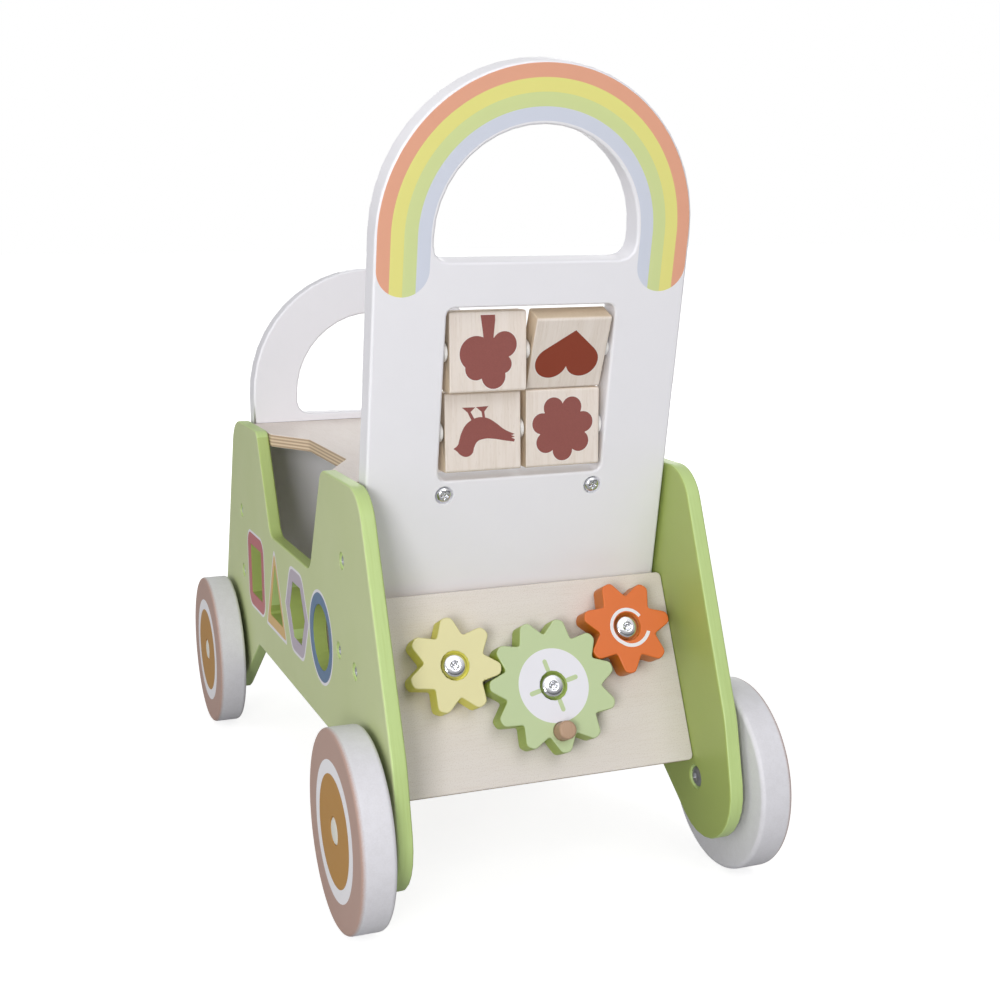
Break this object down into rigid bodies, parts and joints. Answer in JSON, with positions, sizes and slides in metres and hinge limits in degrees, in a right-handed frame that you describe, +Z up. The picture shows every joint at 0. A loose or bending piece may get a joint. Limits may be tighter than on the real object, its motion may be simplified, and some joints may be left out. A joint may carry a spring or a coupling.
{
  "type": "baby walker",
  "caption": "Wooden push-along baby walker: arched rainbow handle with spinning picture tiles, sloping board of meshed gears, shape-sorter sides and a seat over a storage box, on wheels.",
  "frame": {"origin": "on the ground, under the middle of the walker", "axes": "+Y is the walking direction (the child stands behind, on the -Y side), +X the right side, +Z up"},
  "size_m": [0.284, 0.5634, 0.5238],
  "materials": {
    "green_paint": "satin",
    "white_paint": "satin",
    "plywood": "matte",
    "birch": "matte",
    "beech": "matte",
    "large_gear_paint": "satin",
    "left_gear_paint": "satin",
    "right_gear_paint": "satin",
    "wheel_paint": "satin",
    "white_plastic": "satin",
    "chrome": "polished",
    "zinc": "satin"
  },
  "bodies": {
    "frame": {"axle_bolt_front_left": "zinc", "axle_bolt_front_right": "zinc", "axle_bolt_rear_left": "zinc", "axle_bolt_rear_right": "zinc", "floor_board": "plywood", "front_panel": "white_paint", "gear_board": "plywood", "gear_bolt_large": "chrome", "gear_bolt_left": "chrome", "gear_bolt_right": "chrome", "gear_washer_large": "white_plastic", "gear_washer_left": "white_plastic", "gear_washer_right": "white_plastic", "handle_panel": "white_paint", "hub_cap_front_left": "white_plastic", "hub_cap_front_right": "white_plastic", "hub_cap_rear_left": "white_plastic", "hub_cap_rear_right": "white_plastic", "screw_left_front_lower": "zinc", "screw_left_front_upper": "zinc", "screw_left_gear_board_lower": "zinc", "screw_left_gear_board_upper": "zinc", "screw_left_handle_lower": "zinc", "screw_left_handle_upper": "zinc", "screw_right_front_lower": "zinc", "screw_right_front_upper": "zinc", "screw_right_gear_board_lower": "zinc", "screw_right_gear_board_upper": "zinc", "screw_right_handle_lower": "zinc", "screw_right_handle_upper": "zinc", "seat_board": "plywood", "seat_screw_left": "chrome", "seat_screw_right": "chrome", "side_panel_left": "green_paint", "side_panel_right": "green_paint", "spacer_front_left": "white_plastic", "spacer_front_right": "white_plastic", "spacer_rear_left": "white_plastic", "spacer_rear_right": "white_plastic", "tile_bead_lower_left": "white_plastic", "tile_bead_lower_middle": "white_plastic", "tile_bead_lower_right": "white_plastic", "tile_bead_upper_left": "white_plastic", "tile_bead_upper_middle": "white_plastic", "tile_bead_upper_right": "white_plastic", "tile_rod_lower": "birch", "tile_rod_upper": "birch"},
    "wheel_rear_left": {"wheel_rear_left": "wheel_paint"},
    "wheel_rear_right": {"wheel_rear_right": "wheel_paint"},
    "wheel_front_left": {"wheel_front_left": "wheel_paint"},
    "wheel_front_right": {"wheel_front_right": "wheel_paint"},
    "gear_large": {"gear_large": "large_gear_paint", "crank_knob": "beech"},
    "gear_left": {"gear_left": "left_gear_paint"},
    "gear_right": {"gear_right": "right_gear_paint"},
    "tile_upper_left": {"tile_upper_left": "birch"},
    "tile_upper_right": {"tile_upper_right": "birch"},
    "tile_lower_left": {"tile_lower_left": "birch"},
    "tile_lower_right": {"tile_lower_right": "birch"}
  },
  "joints": [
    {"name": "wheel_rear_left_spin", "type": "hinge", "parent": "frame", "child": "wheel_rear_left", "pos_m": [-0.1309, -0.2187, 0.063], "axis": [-1, 0, 0], "continuous": true},
    {"name": "wheel_rear_right_spin", "type": "hinge", "parent": "frame", "child": "wheel_rear_right", "pos_m": [0.1309, -0.2187, 0.063], "axis": [-1, 0, 0], "continuous": true},
    {"name": "wheel_front_left_spin", "type": "hinge", "parent": "frame", "child": "wheel_front_left", "pos_m": [-0.1309, 0.2187, 0.063], "axis": [-1, 0, 0], "continuous": true},
    {"name": "wheel_front_right_spin", "type": "hinge", "parent": "frame", "child": "wheel_front_right", "pos_m": [0.1309, 0.2187, 0.063], "axis": [-1, 0, 0], "continuous": true},
    {"name": "gear_large_spin", "type": "hinge", "parent": "frame", "child": "gear_large", "pos_m": [0.0074, -0.20235, 0.13184], "axis": [0, -0.9135, 0.4067], "continuous": true},
    {"name": "gear_left_spin", "type": "hinge", "parent": "frame", "child": "gear_left", "pos_m": [-0.05632, -0.19423, 0.15009], "axis": [0, -0.9135, 0.4067], "continuous": true},
    {"name": "gear_right_spin", "type": "hinge", "parent": "frame", "child": "gear_right", "pos_m": [0.06575, -0.18914, 0.16151], "axis": [0, -0.9135, 0.4067], "continuous": true},
    {"name": "tile_upper_left_spin", "type": "hinge", "parent": "frame", "child": "tile_upper_left", "pos_m": [-0.02732, -0.18116, 0.34847], "axis": [1, 0, 0], "continuous": true},
    {"name": "tile_upper_right_spin", "type": "hinge", "parent": "frame", "child": "tile_upper_right", "pos_m": [0.02732, -0.18116, 0.34847], "axis": [1, 0, 0], "continuous": true},
    {"name": "tile_lower_left_spin", "type": "hinge", "parent": "frame", "child": "tile_lower_left", "pos_m": [-0.02732, -0.17025, 0.29712], "axis": [1, 0, 0], "continuous": true},
    {"name": "tile_lower_right_spin", "type": "hinge", "parent": "frame", "child": "tile_lower_right", "pos_m": [0.02732, -0.17025, 0.29712], "axis": [1, 0, 0], "continuous": true}
  ],
  "couplings": [
    {"joint": "gear_left_spin", "follows": "gear_large_spin", "ratio": -1.5714},
    {"joint": "gear_right_spin", "follows": "gear_large_spin", "ratio": -1.5714}
  ]
}
